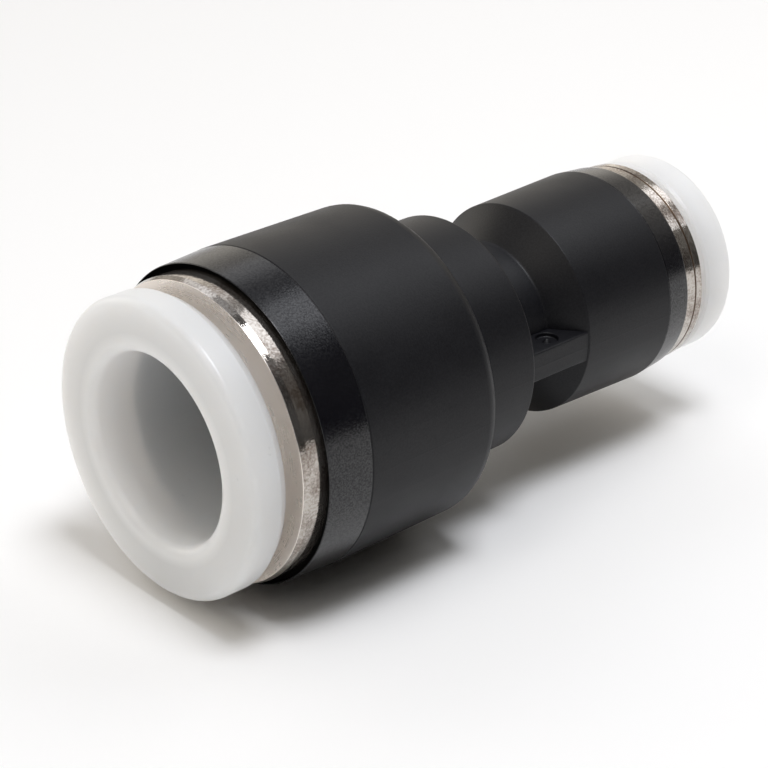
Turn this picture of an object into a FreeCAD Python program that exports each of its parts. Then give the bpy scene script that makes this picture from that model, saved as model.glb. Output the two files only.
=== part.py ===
import FreeCAD, Part
import math
import os
from types import SimpleNamespace

V = FreeCAD.Vector

# Straight push-in coupling that joins a thick tube to a thinner one.
# It stands on the face of its large release ring: +Z runs along the bore to the small end,
# and the flat web beside the neck lies in the YZ plane. Sizes are in millimetres.

# Tubes and the room they have
large_tube_d = 12.0
small_tube_d = 8.0
tube_gap = 0.2
seat_gap = 0.1
claw_bite = 0.1

# Release rings, measured inwards from the face that a finger pushes
large_flange_length = 1.9
large_bevel_length = 0.7
large_bevel_depth = 0.45
large_face_round = 0.5
large_mouth_round = 0.6
large_travel = 0.8
large_stem_wall = 1.0
small_flange_length = 2.3
small_bevel_length = 0.25
small_bevel_depth = 0.15
small_face_round = 0.4
small_mouth_round = 0.45
small_travel = 0.5
small_stem_wall = 0.7
large_flange_inset = 0.2
small_flange_inset = 0.1
stop_gap = 0.1
bead_length = 0.8
bead_height = 0.25
bead_gap = 0.25
tip_gap = 0.25
tip_flat = 0.2

# Guide rings: a bright collar outside, a sleeve pressed into the body
large_overhang = 1.0
large_collar_length = 1.5
large_sleeve_length = 4.4
small_overhang = 0.9
small_collar_length = 1.65
small_sleeve_length = 3.7
guide_fit = 0.08
guide_lip = 1.6
large_edge_inset = 0.15
large_edge_length = 0.43
small_edge_inset = 0.06
small_edge_length = 0.06
collar_hole_round = 0.18
line_groove_depth = 0.08
line_groove_width = 0.14
line_groove_from_body = 1.0
groove_depth = 0.2
groove_width = 0.6

# Lock claws: a flat rim with slanted teeth
large_claw_sheet = 0.3
large_claw_teeth = 12
large_claw_rim = 0.95
small_claw_sheet = 0.25
small_claw_teeth = 8
small_claw_rim = 0.55
claw_slot = 0.7
claw_ledge = 0.15
claw_play = 0.05
claw_rim_gap = 0.1
flex_room = 1.0

# Backing rings and seals behind them
large_backing_length = 3.8
small_backing_length = 2.9
large_seal_length = 2.6
small_seal_length = 1.8
seal_squeeze = 0.1
seal_corner = 0.3
seal_lip_share = 0.7
seal_bulge_share = 0.45

# Moulded body
large_wall = 1.48
small_wall = 1.08
lip_round = 0.15
band_length = 3.3
band_rise = 0.22
large_floor = 2.8
big_draft = 0.1
big_end_round = 1.0
medium_wall = 2.0
medium_floor = 3.55
medium_end_round = 0.25
neck_wall = 1.1
neck_round = 0.4
cone_length = 1.8
small_floor = 0.85
small_band_length = 2.0
small_band_rise = 0.2
small_draft = 0.18
rim_round = 0.15
large_seat_length = 4.6
small_seat_length = 5.25
stop_wall = 5.0
seat_bevel = 0.4
passage_r = 2.75
passage_bevel = 0.5
past = 1.0

# Web beside the neck, with the dimple that the mould leaves in it
web_inset = 0.1
web_thickness = 2.1
web_edge_round = 0.2
dimple_r = 0.75
dimple_depth = 0.35
dimple_inset = 1.2
nib_r = 0.25
nib_height = 0.2


# Levels of one end, counted inwards from the face of its release ring
def end(tube_d, flange, bevel, bevel_depth, face_round, mouth_round, travel, stem_wall,
        flange_inset, overhang, edge_inset, edge_length, collar, sleeve, sheet, teeth, rim,
        backing, seal, seat):
    e = SimpleNamespace(**locals())
    e.tube_r = tube_d / 2
    e.bore_r = e.tube_r + tube_gap
    e.stem_r = e.bore_r + stem_wall
    e.flange_back = flange + bevel
    e.collar_face = e.flange_back + travel + stop_gap
    e.body_face = e.collar_face + collar
    e.sleeve_end = e.body_face + sleeve
    e.lip_end = e.collar_face + guide_lip
    e.room_r = e.stem_r + bead_height + bead_gap
    e.claw_face = e.sleeve_end + claw_play
    e.claw_hinge_r = e.room_r + claw_ledge
    e.claw_r = e.claw_hinge_r + rim
    e.socket_r = e.claw_r + claw_rim_gap
    e.guide_r = e.socket_r + overhang
    e.flange_r = e.guide_r - flange_inset
    e.claw_tip_r = e.tube_r - claw_bite
    e.backing_face = e.claw_face + sheet + claw_play
    e.backing_end = e.backing_face + backing
    e.socket_end = e.backing_end + seal
    e.tube_stop = e.socket_end + seat
    return e


large = end(large_tube_d, large_flange_length, large_bevel_length, large_bevel_depth,
            large_face_round, large_mouth_round, large_travel, large_stem_wall,
            large_flange_inset, large_overhang, large_edge_inset, large_edge_length,
            large_collar_length, large_sleeve_length,
            large_claw_sheet, large_claw_teeth, large_claw_rim,
            large_backing_length, large_seal_length, large_seat_length)
small = end(small_tube_d, small_flange_length, small_bevel_length, small_bevel_depth,
            small_face_round, small_mouth_round, small_travel, small_stem_wall,
            small_flange_inset, small_overhang, small_edge_inset, small_edge_length,
            small_collar_length, small_sleeve_length,
            small_claw_sheet, small_claw_teeth, small_claw_rim,
            small_backing_length, small_seal_length, small_seat_length)

# Heights of the body's steps
total_length = large.tube_stop + stop_wall + small.tube_stop
body_start = large.body_face
big_end = large.socket_end + large_floor
medium_end = large.tube_stop + medium_floor
cone_end = total_length - small.socket_end - small_floor
cone_start = cone_end - cone_length
body_end = total_length - small.body_face
small_lip_r = small.socket_r + small_wall
small_seam_r = small_lip_r + small_band_rise
rim_r = small_seam_r - small_draft


# Turned solid from an outline of (radius, height) corners; a third number rounds the corner
def turned(corners):
    edges = []
    ends = []
    count = len(corners)
    for i in range(count):
        p = V(corners[i][0], 0, corners[i][1])
        before = corners[i - 1]
        after = corners[(i + 1) % count]
        a = (V(before[0], 0, before[1]) - p).normalize()
        b = (V(after[0], 0, after[1]) - p).normalize()
        if len(corners[i]) < 3:
            ends.append((p, p))
            continue
        r = corners[i][2]
        half = a.getAngle(b) / 2
        middle = (a + b).normalize()
        start = p + a * (r / math.tan(half))
        finish = p + b * (r / math.tan(half))
        top = p + middle * (r / math.sin(half) - r)
        ends.append((start, finish))
        edges.append(Part.Arc(start, top, finish).toShape())
    for i in range(count):
        start = ends[i - 1][1]
        finish = ends[i][0]
        if start.distanceToPoint(finish) > 1e-6:
            edges.append(Part.LineSegment(start, finish).toShape())
    wire = Part.Wire(Part.__sortEdges__(edges))
    return Part.Face(wire).revolve(V(0, 0, 0), V(0, 0, 1), 360)


# The large end keeps its levels; the small end is turned over onto the far face
def placed(shape, e):
    if e is small:
        shape.rotate(V(0, 0, 0), V(1, 0, 0), 180)
        shape.translate(V(0, 0, total_length))
    return shape


# Flange for the finger, a stem through the collar and a bevelled tip that spreads the teeth
def releaseRing(e):
    bead_top = e.lip_end + stop_gap
    tip = e.claw_face + e.claw_hinge_r - tip_gap * math.sqrt(2)
    return turned([
        (e.bore_r, 0, e.mouth_round),
        (e.flange_r, 0, e.face_round),
        (e.flange_r, e.flange),
        (e.flange_r - e.bevel_depth, e.flange_back),
        (e.stem_r, e.flange_back),
        (e.stem_r, bead_top),
        (e.stem_r + bead_height, bead_top),
        (e.stem_r + bead_height, bead_top + bead_length / 2),
        (e.stem_r, bead_top + bead_length),
        (e.stem_r, tip - e.stem_r),
        (e.bore_r + tip_flat, tip - e.bore_r - tip_flat),
        (e.bore_r, tip - e.bore_r - tip_flat),
    ])


# Collar outside the body, stop lip for the bead, sleeve with a grip groove
def guideRing(e):
    middle = (e.body_face + e.sleeve_end) / 2
    return turned([
        (e.stem_r + guide_fit, e.collar_face, collar_hole_round),
        (e.guide_r - e.edge_inset, e.collar_face),
        (e.guide_r, e.collar_face + e.edge_length),
        (e.guide_r, e.body_face),
        (e.socket_r, e.body_face),
        (e.socket_r, middle - groove_width / 2),
        (e.socket_r - groove_depth, middle),
        (e.socket_r, middle + groove_width / 2),
        (e.socket_r, e.sleeve_end),
        (e.room_r, e.sleeve_end),
        (e.room_r, e.lip_end),
        (e.stem_r + guide_fit, e.lip_end),
    ])


# Fine turned line round the small collar, seen beside the body
def collarLine(e):
    level = e.body_face - line_groove_from_body
    return turned([
        (e.guide_r - line_groove_depth, level),
        (e.guide_r + line_groove_depth, level - line_groove_width),
        (e.guide_r + line_groove_depth, level + line_groove_width),
    ])


# Sheet ring folded to a cone, slotted into teeth that point inwards along the bore
def lockClaw(e):
    slant = e.sheet / math.sqrt(2)
    fold = e.sheet * math.tan(math.radians(22.5))
    depth = e.claw_hinge_r - e.claw_tip_r
    claw = turned([
        (e.claw_hinge_r, e.claw_face),
        (e.claw_r, e.claw_face),
        (e.claw_r, e.claw_face + e.sheet),
        (e.claw_hinge_r + fold, e.claw_face + e.sheet),
        (e.claw_tip_r + slant, e.claw_face + depth + slant),
        (e.claw_tip_r, e.claw_face + depth),
    ])
    slots = []
    for i in range(e.teeth):
        slot = Part.makeBox(e.claw_hinge_r, claw_slot, depth + 2 * e.sheet,
                            V(0, -claw_slot / 2, e.claw_face - e.sheet / 2))
        slot.rotate(V(0, 0, 0), V(0, 0, 1), 360 * (i + 0.5) / e.teeth)
        slots.append(slot)
    return claw.cut(slots)


# Ring that carries the claw's rim; its cone leaves room for the teeth to flex
def backingRing(e):
    cone = e.claw_face + e.claw_hinge_r + e.sheet * math.sqrt(2) + flex_room
    shelf_r = e.claw_hinge_r + e.sheet
    return turned([
        (shelf_r, e.backing_face),
        (e.socket_r, e.backing_face),
        (e.socket_r, e.backing_end),
        (e.bore_r, e.backing_end),
        (e.bore_r, cone - e.bore_r),
        (shelf_r, cone - shelf_r),
    ])


# Rubber ring: a square foot in the socket and a round lip that the tube squeezes
def seal(e):
    lip_r = e.tube_r - seal_squeeze
    foot_r = (e.socket_r + lip_r) / 2
    height = e.seal * seal_lip_share
    low = e.backing_end + (e.seal - height) / 2
    bulge = height * seal_bulge_share
    return turned([
        (foot_r, e.backing_end),
        (e.socket_r, e.backing_end, seal_corner),
        (e.socket_r, e.socket_end, seal_corner),
        (foot_r, e.socket_end),
        (foot_r - seal_corner, low + height),
        (lip_r, low + height, bulge),
        (lip_r, low, bulge),
        (foot_r - seal_corner, low),
    ])


# Socket, tube seat and half of the passage, as the tool that cuts one end of the body
def socketTool(e):
    seat_r = e.tube_r + seat_gap
    return turned([
        (0, e.body_face - past),
        (e.socket_r, e.body_face - past),
        (e.socket_r, e.socket_end),
        (seat_r + seat_bevel, e.socket_end),
        (seat_r, e.socket_end + seat_bevel),
        (seat_r, e.tube_stop),
        (passage_r + passage_bevel, e.tube_stop),
        (passage_r, e.tube_stop + passage_bevel),
        (passage_r, e.tube_stop + stop_wall),
        (0, e.tube_stop + stop_wall),
    ])


# Stepped outside of the moulding, from the large lip to the small one
def bodyOutside():
    lip_r = large.socket_r + large_wall
    seam_r = lip_r + band_rise
    big_r = seam_r - big_draft
    medium_r = large.tube_r + seat_gap + medium_wall
    neck_r = small.tube_r + seat_gap + neck_wall
    return turned([
        (0, body_start),
        (lip_r, body_start, lip_round),
        (seam_r, body_start + band_length),
        (big_r, big_end, big_end_round),
        (medium_r, big_end, medium_end_round),
        (medium_r, medium_end, medium_end_round),
        (neck_r, medium_end, neck_round),
        (neck_r, cone_start, neck_round),
        (rim_r, cone_end, rim_round),
        (small_seam_r, body_end - small_band_length),
        (small_lip_r, body_end, lip_round),
        (0, body_end),
    ])


# Flat plate on both sides of the neck, on the mould's parting plane
def web():
    side = rim_r - web_inset
    plate = Part.makeBox(web_thickness, 2 * side, cone_end - big_end, V(-web_thickness / 2, -side, big_end))
    edges = [x for x in plate.Edges
             if abs(x.CenterOfMass.z - (cone_end + big_end) / 2) < 1e-6]
    plate = plate.makeFillet(web_edge_round, edges)
    floor = dimple_depth - web_thickness / 2
    centre = V(floor, dimple_inset - side, (medium_end + cone_end) / 2)
    dimple = Part.makeCylinder(dimple_r, dimple_depth * 2, centre, V(-1, 0, 0))
    nib = Part.makeCone(nib_r, nib_r / 2, nib_height, centre, V(-1, 0, 0))
    return plate.cut(dimple.cut(nib))


def body():
    shape = bodyOutside().fuse(web()).removeSplitter()
    shape = shape.cut([placed(socketTool(large), large), placed(socketTool(small), small)])
    return shape.removeSplitter()


def save(shape, node):
    solid = shape.Solids[0]
    print(node, len(shape.Solids), round(solid.Volume, 2), solid.isValid())
    solid.exportStep("parts/" + node + ".step")


os.makedirs("parts", exist_ok=True)
save(body(), "body")
for e, side in ((large, "large"), (small, "small")):
    collar = guideRing(e)
    if e is small:
        collar = collar.cut(collarLine(e))
    save(placed(releaseRing(e), e), side + "_release_ring")
    save(placed(collar, e), side + "_guide_ring")
    save(placed(lockClaw(e), e), side + "_lock_claw")
    save(placed(backingRing(e), e), side + "_backing_ring")
    save(placed(seal(e), e), side + "_seal")
print("length", round(total_length, 3))
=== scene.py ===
import math
import bmesh
import bpy
import numpy as np
from mathutils import Matrix, Vector


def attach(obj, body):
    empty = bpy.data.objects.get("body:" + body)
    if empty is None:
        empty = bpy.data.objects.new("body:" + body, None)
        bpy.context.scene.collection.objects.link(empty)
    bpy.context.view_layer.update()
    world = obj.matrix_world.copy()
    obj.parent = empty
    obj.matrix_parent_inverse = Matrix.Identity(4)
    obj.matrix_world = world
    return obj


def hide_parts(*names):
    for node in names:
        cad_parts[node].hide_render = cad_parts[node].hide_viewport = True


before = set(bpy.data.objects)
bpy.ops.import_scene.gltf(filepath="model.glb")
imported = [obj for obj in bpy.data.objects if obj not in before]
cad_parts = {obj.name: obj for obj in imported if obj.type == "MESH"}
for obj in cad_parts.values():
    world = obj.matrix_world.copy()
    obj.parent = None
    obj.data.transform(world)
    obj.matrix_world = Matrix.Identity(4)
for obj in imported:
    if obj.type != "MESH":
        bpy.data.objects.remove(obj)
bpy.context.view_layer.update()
mm = 0.001
sharpAngle = math.radians(35)  # a bend over this stays a sharp edge in the shading
print("frame loaded with", len(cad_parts), "nodes")


def outline(corners, arcSteps=6, soft=0.04, support=0.05, share=0.15):
    # Closed outline of (radius, height) corners in mm. A third number is that corner's rounding, an
    # arc about the point that lies rounding / sin(half angle) from the corner. Each straight run
    # also gets a point just inside both its ends, so the shading stays flat along it.
    count = len(corners)
    points = []
    for i, corner in enumerate(corners):
        p = np.array(corner[:2], float)
        a = np.array(corners[i - 1][:2], float) - p
        b = np.array(corners[(i + 1) % count][:2], float) - p
        lengths = np.hypot(*a), np.hypot(*b)
        a, b = a / lengths[0], b / lengths[1]
        radius = corner[2] if len(corner) > 2 else soft
        half = 0.5 * math.acos(np.clip(a @ b, -1, 1))
        reach = radius / math.tan(half)
        centre = p + (a + b) / np.hypot(*(a + b)) * radius / math.sin(half)
        start, finish = p + a * reach, p + b * reach
        angle = math.pi - 2 * half
        t = np.linspace(0, 1, arcSteps + 1)[:, None]
        swung = (np.sin((1 - t) * angle) * (start - centre)
                 + np.sin(t * angle) * (finish - centre)) / math.sin(angle)
        points.append(start + a * min(support, lengths[0] * share))
        points.extend(centre + swung)
        points.append(finish + b * min(support, lengths[1] * share))
    return np.array(points)


def turned(profile, around):
    # Profile of (radius, height) carried round the Z axis: radius times the cosine and the sine of
    # the angle, and the height as it is
    angle = np.linspace(0, 2 * math.pi, around, endpoint=False)
    radius, level = profile[:, :1], profile[:, 1:]
    return np.stack([radius * np.cos(angle), radius * np.sin(angle),
                     np.repeat(level, around, 1)], -1)


def gridQuads(rows, columns, closed):
    # Quads between neighbouring points of a grid that closes along each row, and where closed is
    # true also from the last row to the first
    r, c = np.meshgrid(np.arange(rows if closed else rows - 1), np.arange(columns), indexing="ij")
    here, onward, across = r * columns, (r + 1) % rows * columns, (c + 1) % columns
    return np.stack([here + c, here + across, onward + across, onward + c], -1).reshape(-1, 4)


def surface(name, points, body, material):
    # Piece from a grid of points[row, column] in mm that closes both ways. The enclosed volume, the
    # sum over the triangles of p times (q cross s), is positive where the faces point outwards.
    quads = gridQuads(*points.shape[:2], True)
    vertices = points.reshape(-1, 3) * mm
    p, q, s, t = (vertices[quads[:, k]] for k in range(4))
    if (p * np.cross(q, s)).sum() + (p * np.cross(s, t)).sum() < 0:
        quads = quads[:, ::-1]
    mesh = bpy.data.meshes.new(name)
    mesh.from_pydata(vertices.tolist(), [], quads.tolist())
    mesh.update()
    mesh.shade_smooth()
    mesh.set_sharp_from_angle(angle=sharpAngle)
    piece = bpy.data.objects.new(name, mesh)
    bpy.context.scene.collection.objects.link(piece)
    mesh.materials.append(material)
    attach(piece, body)
    return piece


# Material nodes. Patterns read Object coordinates, so scales are per metre and depths in metres.

def newMaterial(name):
    material = bpy.data.materials.new(name)
    material.use_nodes = True
    tree = material.node_tree
    tree.nodes.clear()
    out = tree.nodes.new("ShaderNodeOutputMaterial")
    shader = tree.nodes.new("ShaderNodeBsdfPrincipled")
    tree.links.new(shader.outputs[0], out.inputs[0])
    where = tree.nodes.new("ShaderNodeTexCoord").outputs["Object"]
    return material, tree, shader, where


def add(tree, kind, values=None, **settings):
    # One node; values go to its inputs by name or number, as numbers or as links
    node = tree.nodes.new(kind)
    for key, value in settings.items():
        setattr(node, key, value)
    for key, value in (values or {}).items():
        if isinstance(value, bpy.types.NodeSocket):
            tree.links.new(value, node.inputs[key])
        else:
            node.inputs[key].default_value = value
    return node


def maths(tree, operation, a, b=0.0, c=None, clamp=False):
    values = {0: a, 1: b}
    if c is not None:
        values[2] = c
    return add(tree, "ShaderNodeMath", values, operation=operation, use_clamp=clamp).outputs[0]


def between(tree, share, low, high):
    # low where share is 0, high where it is 1
    return maths(tree, "MULTIPLY_ADD", share, high - low, low)


def varied(tree, value, pattern, amount, clamp=False):
    # value, plus amount times the pattern's distance from its middle
    offset = maths(tree, "SUBTRACT", pattern, 0.5)
    return maths(tree, "MULTIPLY_ADD", offset, amount, value, clamp)


def outside(tree, value, low, high):
    # 1 below low and above high, 0 between them
    return maths(tree, "ADD", maths(tree, "LESS_THAN", value, low),
                 maths(tree, "GREATER_THAN", value, high), clamp=True)


def noise(tree, where, scale, detail=3.0, roughness=0.5):
    return add(tree, "ShaderNodeTexNoise", {"Vector": where, "Scale": scale, "Detail": detail,
                                            "Roughness": roughness}).outputs["Fac"]


def ramp(tree, value, low, high, toLow, toHigh):
    return add(tree, "ShaderNodeMapRange",
               {"Value": value, "From Min": low, "From Max": high, "To Min": toLow,
                "To Max": toHigh}, clamp=True).outputs[0]


def mixColour(tree, factor, a, b):
    node = add(tree, "ShaderNodeMix", {"Factor": factor}, data_type="RGBA")
    for key, value in ((6, a), (7, b)):
        if isinstance(value, bpy.types.NodeSocket):
            tree.links.new(value, node.inputs[key])
        else:
            node.inputs[key].default_value = (*value, 1)
    return node.outputs[2]


def bump(tree, height, distance, strength=1.0, normal=None):
    values = {"Height": height, "Distance": distance, "Strength": strength}
    if normal is not None:
        values["Normal"] = normal
    return add(tree, "ShaderNodeBump", values).outputs[0]


def axisLevel(tree, where):
    return add(tree, "ShaderNodeSeparateXYZ", {0: where}).outputs[2]


def axisRadius(tree, where):
    parts = add(tree, "ShaderNodeSeparateXYZ", {0: where})
    flat = add(tree, "ShaderNodeCombineXYZ", {0: parts.outputs[0], 1: parts.outputs[1]})
    return add(tree, "ShaderNodeVectorMath", {0: flat.outputs[0]},
               operation="LENGTH").outputs["Value"]


def ringCoordinates(tree, where):
    # (radius, 0, height): the same all the way round, so noise on it makes turned rings
    return add(tree, "ShaderNodeCombineXYZ", {0: axisRadius(tree, where), 1: 0.0,
                                              2: axisLevel(tree, where)}).outputs[0]


bodyLook = dict(
    colour=(0.0036, 0.0036, 0.0052), worn=(0.0060, 0.0060, 0.0080), wornShare=0.45,
    largeBand=0.00828, smallBand=0.0378,  # the polished bands lie outside these levels
    rough=0.46, bandRough=0.2, shine=0.3, bandShine=0.52, sparkle=0.12, bandSparkle=0.38,
    grain=9000.0, grainRough=0.2, grainDepth=0.000009, grainStrength=0.6,
    cloud=260.0, cloudRough=0.16,
    # the recess entries paint shade into the recess beside the large collar
    recessRadius=0.01033, recessLevel=0.0054, recessShadeColour=(0.006, 0.006, 0.006))


def mouldedPlastic(look):
    material, tree, shader, where = newMaterial("mouldedPlastic")
    level = axisLevel(tree, where)
    band = outside(tree, level, look["largeBand"], look["smallBand"])
    # painted shade: in the narrow recess between the large band and its collar the shine is
    # switched off and the colour replaced, standing in for the shade that falls there
    recess = maths(tree, "MULTIPLY",
                   maths(tree, "LESS_THAN", axisRadius(tree, where), look["recessRadius"]),
                   maths(tree, "LESS_THAN", level, look["recessLevel"]))
    grain = noise(tree, where, look["grain"], 2.0)
    cloud = noise(tree, where, look["cloud"], 4.0)
    glints = maths(tree, "MULTIPLY_ADD", ramp(tree, grain, 0.35, 0.65, -1.0, 1.0),
                   between(tree, band, look["sparkle"], look["bandSparkle"]), 1.0)
    shine = maths(tree, "MULTIPLY", between(tree, band, look["shine"], look["bandShine"]), glints)
    shine = maths(tree, "MULTIPLY", shine, maths(tree, "SUBTRACT", 1.0, recess))
    tree.links.new(shine, shader.inputs["Specular IOR Level"])
    wear = ramp(tree, cloud, 0.35, 0.75, 0.0, look["wornShare"])
    tint = mixColour(tree, wear, look["colour"], look["worn"])
    tint = mixColour(tree, recess, tint, look["recessShadeColour"])
    tree.links.new(tint, shader.inputs["Base Color"])
    rough = between(tree, band, look["rough"], look["bandRough"])
    rough = varied(tree, rough, cloud, look["cloudRough"])
    rough = varied(tree, rough, grain, look["grainRough"], clamp=True)
    tree.links.new(rough, shader.inputs["Roughness"])
    tree.links.new(bump(tree, grain, look["grainDepth"], look["grainStrength"]),
                   shader.inputs["Normal"])
    return material


ringLook = dict(
    colour=(0.70, 0.705, 0.705), deep=(0.66, 0.665, 0.66), deepShare=0.35,
    # bore: a whiter colour painted in the bore as light on its wall
    bore=(0.93, 0.93, 0.92), boreRadius=0.0063, boreFade=0.0012,
    scatter=1.0, reach=0.007, spread=(1.0, 0.95, 0.9),
    rough=0.33, cloud=180.0, cloudRough=0.2, fine=2600.0, fineRough=0.12,
    fineDepth=0.000003, fineStrength=0.5)


def whiteAcetal(look):
    material, tree, shader, where = newMaterial("whiteAcetal")
    cloud = noise(tree, where, look["cloud"], 3.0)
    fine = noise(tree, where, look["fine"], 2.0)
    deep = ramp(tree, cloud, 0.3, 0.7, 0.0, look["deepShare"])
    tint = mixColour(tree, deep, look["colour"], look["deep"])
    # painted light: the bore is made whiter than the rest, standing in for the light that reaches
    # its wall
    boreLightShare = ramp(tree, axisRadius(tree, where), look["boreRadius"],
                  look["boreRadius"] + look["boreFade"], 1.0, 0.0)
    tree.links.new(mixColour(tree, boreLightShare, tint, look["bore"]), shader.inputs["Base Color"])
    shader.inputs["Subsurface Weight"].default_value = look["scatter"]
    shader.inputs["Subsurface Scale"].default_value = look["reach"]
    shader.inputs["Subsurface Radius"].default_value = look["spread"]
    rough = varied(tree, look["rough"], cloud, look["cloudRough"])
    rough = varied(tree, rough, fine, look["fineRough"])
    tree.links.new(rough, shader.inputs["Roughness"])
    tree.links.new(bump(tree, fine, look["fineDepth"], look["fineStrength"]),
                   shader.inputs["Normal"])
    return material


nickelLook = dict(
    colour=(0.53, 0.495, 0.455), tarnish=(0.17, 0.13, 0.105), tarnishShare=0.85, metal=0.9,
    rough=0.12, rings=9000.0, ringRough=0.15, ringDepth=0.000003,
    blotch=420.0, blotchRough=0.3, speck=2400.0, speckDepth=0.00001,
    fleck=6500.0, fleckShare=0.7, fleckDepth=0.000005,
    # the faces get a lighter colour: painted light for the light reaching them in the gap before
    # each flange
    faces=(0.00354, 0.04141), faceLightColour=(0.82, 0.755, 0.70), faceRough=0.3,  # outside these levels
    # the line entries paint shade into the groove of the small collar
    lineAt=0.0408, lineHalf=0.00009, lineShadeColour=(0.10, 0.065, 0.045), lineRough=0.3)


def platedNickel(look):
    material, tree, shader, where = newMaterial("platedNickel")
    rings = noise(tree, ringCoordinates(tree, where), look["rings"], 2.0)
    blotch = noise(tree, where, look["blotch"], 5.0, 0.6)
    speck = noise(tree, where, look["speck"], 3.0, 0.6)
    fleck = noise(tree, where, look["fleck"], 2.0)
    level = axisLevel(tree, where)
    onFace = outside(tree, level, *look["faces"])
    # painted shade: the groove of the small collar is darkened
    offLine = maths(tree, "ABSOLUTE", maths(tree, "SUBTRACT", level, look["lineAt"]))
    inLine = ramp(tree, offLine, look["lineHalf"] * 0.6, look["lineHalf"], 1.0, 0.0)
    dull = varied(tree, blotch, fleck, look["fleckShare"])
    tint = mixColour(tree, ramp(tree, dull, 0.36, 0.68, 0.0, look["tarnishShare"]),
                     look["colour"], look["tarnish"])
    # painted light: the collars' flat faces are made lighter than the rest
    tint = mixColour(tree, onFace, tint, look["faceLightColour"])
    tree.links.new(mixColour(tree, inLine, tint, look["lineShadeColour"]), shader.inputs["Base Color"])
    shader.inputs["Metallic"].default_value = look["metal"]
    rough = varied(tree, look["rough"], blotch, look["blotchRough"])
    rough = maths(tree, "MULTIPLY_ADD", onFace, look["faceRough"] - look["rough"], rough)
    rough = maths(tree, "MULTIPLY_ADD", inLine, look["lineRough"], rough)
    rough = varied(tree, rough, rings, look["ringRough"], clamp=True)
    tree.links.new(rough, shader.inputs["Roughness"])
    normal = bump(tree, rings, look["ringDepth"], 0.7)
    normal = bump(tree, speck, look["speckDepth"], 0.8, normal)
    normal = bump(tree, fleck, look["fleckDepth"], 0.8, normal)
    tree.links.new(normal, shader.inputs["Normal"])
    return material


innerLooks = dict(
    rolledSteel=dict(colour=(0.55, 0.54, 0.52), shade=0.8, rough=0.3, metal=1.0, rings=True,
                     pattern=6000.0, detail=2.0, depth=0.000004, strength=0.6),
    softRubber=dict(colour=(0.012, 0.012, 0.012), shade=2.5, rough=0.42, metal=0.0, rings=False,
                    pattern=3000.0, detail=3.0, depth=0.00001, strength=0.5),
    innerPlastic=dict(colour=(0.62, 0.61, 0.58), shade=0.85, rough=0.45, metal=0.0, rings=False,
                      pattern=900.0, detail=3.0, depth=0.00001, strength=0.4))


def innerFinish(name):
    # One pattern varies the colour, the roughness and the surface of a piece inside
    look = innerLooks[name]
    material, tree, shader, where = newMaterial(name)
    where = ringCoordinates(tree, where) if look["rings"] else where
    pattern = noise(tree, where, look["pattern"], look["detail"])
    other = tuple(look["shade"] * x for x in look["colour"])
    tree.links.new(mixColour(tree, pattern, look["colour"], other), shader.inputs["Base Color"])
    tree.links.new(varied(tree, look["rough"], pattern, 0.2), shader.inputs["Roughness"])
    tree.links.new(bump(tree, pattern, look["depth"], look["strength"]), shader.inputs["Normal"])
    shader.inputs["Metallic"].default_value = look["metal"]
    return material


bodyPlastic = mouldedPlastic(bodyLook)
acetal = whiteAcetal(ringLook)
nickel = platedNickel(nickelLook)
steel, rubber, backing = map(innerFinish, ("rolledSteel", "softRubber", "innerPlastic"))
print("materials made")


# Lengths and levels in mm
coupling = dict(length=44.6, bodyStart=5.0, bodyEnd=39.8)
bodyShape = dict(
    lip=10.38, recess=0.35, recessEdge=0.12, recessDraft=0.04, lipSlope=0.03,
    seam=10.57, seamAt=8.3, seamBefore=0.06, seamAfter=0.05, seamDrop=0.02, groove=0.045,
    big=10.49, bigEnd=19.0, bigRound=1.0, medium=8.1, mediumEnd=24.35, mediumRound=0.15,
    shoulderRound=0.12, neck=5.2, neckRound=0.4, coneStart=28.4, coneEnd=30.2, coneRound=0.25,
    rim=7.3, lipRound=0.12, smallLip=7.28,
    smallSeam=7.48, smallSeamAt=37.8, smallSeamBefore=0.04, smallSeamDrop=0.01,
    largeSocket=8.9, largeSocketEnd=16.2, largeSeat=6.1, largeStop=20.8,
    smallSocket=6.2, smallSocketEnd=31.05, smallSeat=4.1, smallStop=25.8,
    seatBevel=0.4, passage=2.75, passageBevel=0.5,
    webHalf=1.05, webSide=7.2, webRound=0.12, webDraft=0.045, footSpread=0.2, footMost=0.09,
    ridge=0.004, ridgeFade=(1.0, 0.75, 0.1))


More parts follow.
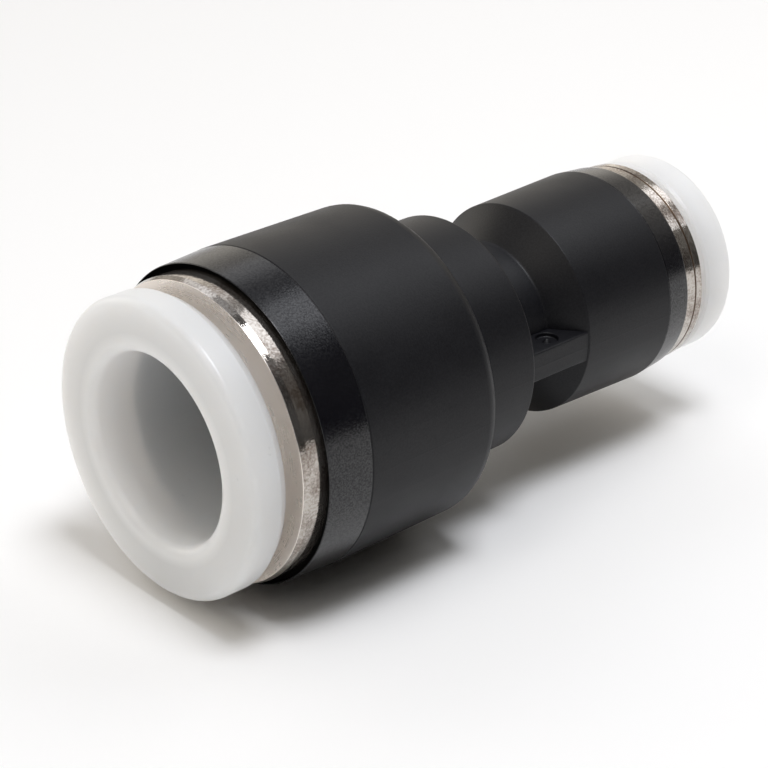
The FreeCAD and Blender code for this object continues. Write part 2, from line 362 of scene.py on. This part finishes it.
def bodyCorners(s):
    # Section in (radius, height, rounding): up the outside from the large collar to the small one,
    # then down inside through the small socket, the passage and the large socket
    start, end, edge = coupling["bodyStart"], coupling["bodyEnd"], s["lip"] - s["recessEdge"]
    seat, passage = s["seatBevel"], s["passage"] + s["passageBevel"]
    outer = [
        (edge - s["recessDraft"], start + s["recess"], 0.03),
        (edge, start, 0.05),
        (s["lip"], start + s["lipSlope"], 0.06),
        (s["seam"] - s["seamDrop"], s["seamAt"] - s["seamBefore"], 0.02),
        (s["seam"] - s["groove"], s["seamAt"], 0.02),
        (s["seam"], s["seamAt"] + s["seamAfter"], 0.04),
        (s["big"], s["bigEnd"], s["bigRound"]),
        (s["medium"], s["bigEnd"], s["shoulderRound"]),
        (s["medium"], s["mediumEnd"], s["mediumRound"]),
        (s["neck"], s["mediumEnd"], s["neckRound"]),
        (s["neck"], s["coneStart"], s["coneRound"]),
        (s["rim"], s["coneEnd"], s["lipRound"]),
        (s["smallSeam"], s["smallSeamAt"] - s["smallSeamBefore"], 0.03),
        (s["smallSeam"] - s["groove"] * 0.5, s["smallSeamAt"], 0.02),
        (s["smallSeam"] - s["smallSeamDrop"], s["smallSeamAt"] + s["seamAfter"], 0.02),
        (s["smallLip"], end, s["lipRound"])]
    inner = [
        (s["smallSocket"], end), (s["smallSocket"], s["smallSocketEnd"]),
        (s["smallSeat"] + seat, s["smallSocketEnd"]), (s["smallSeat"], s["smallSocketEnd"] - seat),
        (s["smallSeat"], s["smallStop"]), (passage, s["smallStop"]),
        (s["passage"], s["smallStop"] - s["passageBevel"]),
        (s["passage"], s["largeStop"] + s["passageBevel"]),
        (passage, s["largeStop"]), (s["largeSeat"], s["largeStop"]),
        (s["largeSeat"], s["largeSocketEnd"] + seat), (s["largeSeat"] + seat, s["largeSocketEnd"]),
        (s["largeSocket"], s["largeSocketEnd"]), (s["largeSocket"], start + s["recess"])]
    return outer, inner


def quarterSection(radius, grow, s):
    # One quarter of the neck's section, from +Y to +X: the web's side face, its rounded edge, its
    # flat face down to the neck, then the neck's circle. radius, and grow, which thickens the web
    # at its foot, are arrays with one value for each row.
    radius, grow = radius[:, None], grow[:, None]
    t, w, c = s["webHalf"] + grow, s["webSide"] + grow, s["webRound"]
    steps = np.array([0, 0.02, 0.05, 0.08, 0.25, 0.5, 0.75, 0.95])[None]
    sideX = steps * (t - c)
    sideY = w - sideX * s["webDraft"] + 0 * radius
    turn = np.linspace(math.pi / 2, 0, 6)[None]
    edgeX = t - c + c * np.cos(turn) + 0 * radius
    edgeY = w - t * s["webDraft"] - c + c * np.sin(turn) + 0 * radius
    foot = np.sqrt(np.maximum(radius ** 2 - t ** 2, 0))  # where the flat face meets the neck
    foot = np.minimum(foot, w - c - t * s["webDraft"])
    down = np.linspace(0, 1, 10)[None, 1:-1]
    faceY = edgeY[:, -1:] * (1 - down) + foot * down
    angle = np.arctan2(t, foot)
    swing = angle + (math.pi / 2 - angle) * np.linspace(0, 1, 27)[None]
    x = np.concatenate([sideX + 0 * radius, edgeX, t + 0 * faceY, radius * np.sin(swing)], 1)
    y = np.concatenate([sideY, edgeY, faceY, radius * np.cos(swing)], 1)
    return x, y


def bodyPoints(s):
    # Every row has the neck section's directions. Its points lie on the circle of the row's radius,
    # and beside the neck on the web, where that reaches further out.
    outer, inner = bodyCorners(s)
    profile = outline(outer + inner)
    perCorner = len(profile) // (len(outer) + len(inner))
    outwards = np.arange(len(profile)) < perCorner * len(outer)
    radius, level = profile[:, 0], profile[:, 1]
    webbed = outwards & (level > s["mediumEnd"] - 1e-6) & (level < s["coneEnd"])
    nearFoot = webbed & (level < s["mediumEnd"] + s["neckRound"])
    grow = np.where(nearFoot, s["footSpread"] * (radius - s["neck"]), 0)
    x, y = quarterSection(np.where(webbed, radius, s["neck"]), np.clip(grow, 0, s["footMost"]), s)
    reach = np.hypot(x, y)
    target = np.where(webbed[:, None], np.maximum(reach, radius[:, None]), radius[:, None])
    # a fine ridge where the mould's halves met, on the outside only
    ridge = np.zeros(x.shape[1])
    ridge[:len(s["ridgeFade"])] = s["ridge"] * np.array(s["ridgeFade"])
    target = target + np.where(outwards[:, None], ridge[None], 0)
    x, y = x / reach * target, y / reach * target
    # the quarter is mirrored into the other three
    x = np.concatenate([x, x[:, -2::-1], -x[:, 1:], -x[:, -2:0:-1]], 1)
    y = np.concatenate([y, -y[:, -2::-1], -y[:, 1:], y[:, -2:0:-1]], 1)
    return np.stack([x, y, np.repeat(level[:, None], x.shape[1], 1)], -1)


dimpleShape = dict(
    y=-6.0, z=27.45, face=-1.05, radius=0.75, depth=0.28, floorRound=0.1, flare=0.05, above=0.3,
    nib=0.25, nibTop=0.125, nibHeight=0.26, nibRound=0.03, nibFoot=0.04, around=48)


def dimpleCutter(s):
    # The hollow's profile, (radius, height over the web's face), from the pole on the nib's top to
    # a pole above the face, carried round an axis along X
    floor, top = -s["depth"], s["nibHeight"] - s["depth"]
    nib = [(0, top), (s["nibTop"] * 0.6, top), (s["nibTop"], top - s["nibRound"]),
           (s["nib"], s["nibFoot"] + floor), (s["nib"] + s["nibFoot"], floor)]
    bend = np.linspace(0, math.pi / 2, 5)
    wall = s["radius"] - s["floorRound"] + s["floorRound"] * np.sin(bend)
    rise = s["floorRound"] + floor - s["floorRound"] * np.cos(bend)
    rim = s["radius"] + s["flare"]
    lip = [(s["radius"], -0.06), (s["radius"] + s["flare"] * 0.3, -0.02), (rim, 0.005),
           (rim, s["above"]), (0, s["above"])]
    profile = np.array([*nib, *zip(wall, rise), *lip])
    radius, level = profile[:, :1], profile[:, 1:]
    angle = np.linspace(0, 2 * math.pi, s["around"], endpoint=False)
    return np.stack([s["face"] - np.repeat(level, s["around"], 1),
                     s["y"] + radius * np.cos(angle), s["z"] + radius * np.sin(angle)], -1)


def merged(mesh, distance, outwards):
    work = bmesh.new()
    work.from_mesh(mesh)
    bmesh.ops.remove_doubles(work, verts=work.verts, dist=distance)
    if outwards:
        bmesh.ops.recalc_face_normals(work, faces=work.faces)
    work.to_mesh(mesh)
    work.free()


def sunk(piece, points):
    # The piece with the hollow taken out of it, kept as a plain mesh; the cut is made in mm, where
    # the solver keeps such small faces apart
    mesh = bpy.data.meshes.new("hollow")
    mesh.from_pydata(points.reshape(-1, 3).tolist(), [],
                     gridQuads(*points.shape[:2], False).tolist())
    merged(mesh, 1e-5, True)  # its poles become single points
    cutter = bpy.data.objects.new("hollow", mesh)
    bpy.context.scene.collection.objects.link(cutter)
    piece.data.transform(Matrix.Scale(1 / mm, 4))
    merged(piece.data, 1e-4, False)
    cut = piece.modifiers.new("hollow", "BOOLEAN")
    cut.operation, cut.solver, cut.object = "DIFFERENCE", "EXACT", cutter
    finished = piece.evaluated_get(bpy.context.evaluated_depsgraph_get())
    made = bpy.data.meshes.new_from_object(finished)
    made.transform(Matrix.Scale(mm, 4))
    piece.modifiers.clear()
    piece.data = made
    made.name = piece.name
    bpy.data.objects.remove(cutter)
    made.shade_smooth()
    made.set_sharp_from_angle(angle=sharpAngle)
    even = piece.modifiers.new("evenShading", "WEIGHTED_NORMAL")
    even.keep_sharp = True
    even.weight = 90


body = surface("mouldedBody", bodyPoints(bodyShape), "coupling", bodyPlastic)
sunk(body, dimpleCutter(dimpleShape))
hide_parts("body")
print("body made:", len(body.data.vertices), "points")


# Levels on both ends are counted inwards from the face that a finger pushes
releaseShape = dict(
    large=dict(bore=6.2, mouth=0.6, flange=9.7, face=0.5, flangeEnd=1.9, bevel=0.7, bevelDepth=0.45,
               stem=7.2, bead=5.2, tip=16.946),
    small=dict(bore=4.2, mouth=0.45, flange=7.0, face=0.4, flangeEnd=2.3, bevel=0.25,
               bevelDepth=0.15, stem=4.9, bead=4.85, tip=13.746))
beadShape = dict(height=0.25, flat=0.4, length=0.8, tipWall=0.2)


def releaseCorners(s, bead):
    # Section in (radius, height, rounding): flange, stem, stop bead and bevelled tip, then the bore
    back, tip = s["flangeEnd"] + s["bevel"], s["bore"] + bead["tipWall"]
    return [
        (s["bore"], 0, s["mouth"]), (s["flange"], 0, s["face"]),
        (s["flange"], s["flangeEnd"], 0.08), (s["flange"] - s["bevelDepth"], back, 0.08),
        (s["stem"], back, 0.1),
        (s["stem"], s["bead"]), (s["stem"] + bead["height"], s["bead"]),
        (s["stem"] + bead["height"], s["bead"] + bead["flat"]),
        (s["stem"], s["bead"] + bead["length"]), (s["stem"], s["tip"] - s["stem"]),
        (tip, s["tip"] - tip), (s["bore"], s["tip"] - tip)]


guideShape = dict(
    large=dict(hole=7.28, holeRound=0.18, collar=9.9, face=3.5, inset=0.15, edge=0.43, body=5.36,
               socket=8.9, end=9.4, room=7.7, lip=5.1, lines=()),
    small=dict(hole=4.98, holeRound=0.18, collar=7.1, face=3.15, inset=0.06, edge=0.06, body=4.8,
               socket=6.2, end=8.5, room=5.4, lip=4.75, lines=(3.8,)))
guideGroove = dict(line=0.1, grip=0.3, gripDepth=0.2)


def guideCorners(s, groove):
    # Section in (radius, height, rounding): the collar with its bevelled edge and its turned line,
    # the sleeve with one groove for the grip in the body, then the room inside for the teeth
    middle = (s["body"] + s["end"]) / 2
    lines = []
    for at in s["lines"]:
        lines += [(s["collar"], at - groove["line"], 0.02),
                  (s["collar"] - groove["line"], at, 0.02),
                  (s["collar"], at + groove["line"], 0.02)]
    return [
        (s["hole"], s["face"], s["holeRound"]), (s["collar"] - s["inset"], s["face"], 0.02),
        (s["collar"], s["face"] + s["edge"], 0.02), *lines, (s["collar"], s["body"]),
        (s["socket"], s["body"]), (s["socket"], middle - groove["grip"]),
        (s["socket"] - groove["gripDepth"], middle), (s["socket"], middle + groove["grip"]),
        (s["socket"], s["end"]), (s["room"], s["end"]), (s["room"], s["lip"]),
        (s["hole"], s["lip"])]


def ringPoints(corners, end, arcSteps, around=224):
    if end == "small":
        corners = [(c[0], coupling["length"] - c[1], *c[2:]) for c in corners]
    return turned(outline(corners, arcSteps), around)


for end in ("large", "small"):
    points = ringPoints(releaseCorners(releaseShape[end], beadShape), end, 8)
    ring = surface(end + "ReleaseRing", points, end + "_release", acetal)
    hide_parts(end + "_release_ring")
    points = ringPoints(guideCorners(guideShape[end], guideGroove), end, 6)
    ring = surface(end + "GuideRing", points, "coupling", nickel)
    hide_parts(end + "_guide_ring")
print("release rings and guide rings made")

# The pieces inside keep their solids
for end in ("large", "small"):
    for kind, material in (("lock_claw", steel), ("backing_ring", backing), ("seal", rubber)):
        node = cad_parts[end + "_" + kind]
        node.data.materials.clear()
        node.data.materials.append(material)
print("inner pieces dressed")


# The photograph has the coupling lying on its side, so its up is -X here, and rolled a little about
# Z: the stage is laid out for the part unrolled, and then all of it turns back by that roll.
view = dict(
    right=(0.0, -0.67046, 0.741945), up=(-0.891452, 0.336187, 0.303796),
    away=(0.453116, 0.661408, 0.597683), place=(-71.884, -107.534, -78.508), roll=2.0,
    lens=117.565, sensor=36, nearest=0.005, farthest=10)
rollBack = Matrix.Rotation(math.radians(-view["roll"]), 3, "Z")

studio = dict(
    glowColour=(1.0, 0.94, 0.85), lampColour=(0.965, 0.99, 1.045),
    # soft light from around: height over the horizon, turn from the camera to the right, strength
    glows=[(48, 315, 2.4), (25, 90, 0.1), (25, 135, 1.15), (25, 180, 0.38), (25, 225, 0.5),
           (25, 270, 0.15), (6, 0, 0.1), (6, 180, 1.05), (6, 240, 2.7)],
    tightness=18.0,
    # level lamps over the part: left, right, back and front edge in lamp heights, and brightness
    lamps=[("key", 0.0, 0.33, 0.04, 0.38, 18.0), ("behind", -0.3, 0.3, -0.4, -0.1, 0.4),
           ("behindRight", 0.3, 0.9, -0.4, -0.1, 1.9), ("right", 0.9, 1.6, -0.4, -0.1, 1.4),
           ("backLeft", -0.9, -0.3, -0.9, -0.4, 1.2), ("back", -0.3, 0.3, -0.9, -0.4, 0.25),
           ("backRight", 0.3, 0.9, -0.9, -0.4, 1.7), ("farBack", -0.9, 0.3, -1.6, -0.9, 0.75),
           ("frontLeft", -0.5, -0.2, 0.15, 0.4, 3.0), ("frontRight", 0.3, 0.8, -0.1, 0.7, 0.15)],
    lampHeight=0.4)


def fromCamera(right, up, towards):
    # A direction in the part's frame, from the view's own right, up and towards the camera
    near = Vector((0, -view["away"][1], -view["away"][2])).normalized()
    across = Vector((0, near.z, -near.y))
    direction = across * right + Vector((-up, 0, 0)) + near * towards
    return rollBack @ direction.normalized()


def ceilingLamp(name, left, right, back, front, brightness):
    across, up, towards = fromCamera(1, 0, 0), fromCamera(0, 1, 0), fromCamera(0, 0, 1)
    height = studio["lampHeight"]
    data = bpy.data.lights.new(name, "AREA")
    data.shape = "RECTANGLE"
    data.size, data.size_y = (right - left) * height, (front - back) * height
    data.energy = math.pi * data.size * data.size_y * brightness
    data.color = studio["lampColour"]
    lamp = bpy.data.objects.new(name, data)
    middle = up + across * (left + right) / 2 + towards * (back + front) / 2
    place = Vector((0, 0, 0.5 * coupling["length"] * mm)) + middle * height
    axes = Matrix((across, up.cross(across), up)).transposed()
    lamp.matrix_world = Matrix.Translation(place) @ axes.to_4x4()
    lamp.visible_camera = False
    bpy.context.scene.collection.objects.link(lamp)


for lamp in studio["lamps"]:
    ceilingLamp(*lamp)

floorLook = dict(at=10.64, half=420.0, colour=(0.945, 0.94, 0.93), deep=(0.93, 0.92, 0.905),
                 cloud=9.0, rough=0.6, shine=0.2)


def paleFloor(look):
    # White from above; seen from behind it lets the light and the view through
    material, tree, shader, where = newMaterial("paleFloor")
    cloud = noise(tree, where, look["cloud"], 2.0)
    tint = mixColour(tree, cloud, look["colour"], look["deep"])
    tree.links.new(tint, shader.inputs["Base Color"])
    shader.inputs["Roughness"].default_value = look["rough"]
    shader.inputs["Specular IOR Level"].default_value = look["shine"]
    out = [n for n in tree.nodes if n.type == "OUTPUT_MATERIAL"][0]
    behind = add(tree, "ShaderNodeNewGeometry").outputs["Backfacing"]
    clear = add(tree, "ShaderNodeBsdfTransparent").outputs[0]
    mix = add(tree, "ShaderNodeMixShader", {0: behind, 1: shader.outputs[0], 2: clear})
    tree.links.new(mix.outputs[0], out.inputs[0])
    return material


at, half = floorLook["at"], floorLook["half"]
square = ((-half, -half), (-half, half), (half, half), (half, -half))
floorMesh = bpy.data.meshes.new("floor")
floorMesh.from_pydata([rollBack @ Vector((at, y, z)) * mm for y, z in square], [], [(0, 1, 2, 3)])
floorMesh.update()
floorMesh.materials.append(paleFloor(floorLook))
floor = bpy.data.objects.new("floor", floorMesh)
bpy.context.scene.collection.objects.link(floor)

world = bpy.data.worlds.new("studio")
bpy.context.scene.world = world
world.use_nodes = True
tree = world.node_tree
tree.nodes.clear()
facing = add(tree, "ShaderNodeTexCoord").outputs["Generated"]
glow = 0.0
for height, turn, strength in studio["glows"]:
    # each falls off as e to the tightness times (cosine of the angle from its middle, less one)
    height, turn = math.radians(height), math.radians(turn)
    centre = fromCamera(math.cos(height) * math.sin(turn), math.sin(height),
                        math.cos(height) * math.cos(turn))
    near = add(tree, "ShaderNodeVectorMath", {0: facing, 1: centre},
               operation="DOT_PRODUCT").outputs["Value"]
    fall = maths(tree, "MULTIPLY_ADD", near, studio["tightness"], -studio["tightness"])
    glow = maths(tree, "MULTIPLY_ADD", maths(tree, "EXPONENT", fall), strength, glow)
seen = add(tree, "ShaderNodeLightPath").outputs["Is Camera Ray"]  # the backdrop itself is white
ground = add(tree, "ShaderNodeBackground", {
    "Color": mixColour(tree, seen, studio["glowColour"], (1, 1, 1)),
    "Strength": maths(tree, "MAXIMUM", glow, seen)})
tree.links.new(ground.outputs[0], add(tree, "ShaderNodeOutputWorld").inputs[0])

cameraData = bpy.data.cameras.new("camera")
cameraData.sensor_width = view["sensor"]
cameraData.lens = view["lens"]
cameraData.clip_start, cameraData.clip_end = view["nearest"], view["farthest"]
camera = bpy.data.objects.new("camera", cameraData)
axes = Matrix((view["right"], view["up"], -Vector(view["away"]))).transposed()
place = rollBack @ Vector(view["place"]) * mm
camera.matrix_world = Matrix.Translation(place) @ (rollBack @ axes).to_4x4()
bpy.context.scene.collection.objects.link(camera)
bpy.context.scene.camera = camera
bpy.context.scene.view_settings.view_transform = "Standard"
print("floor, light and camera set")
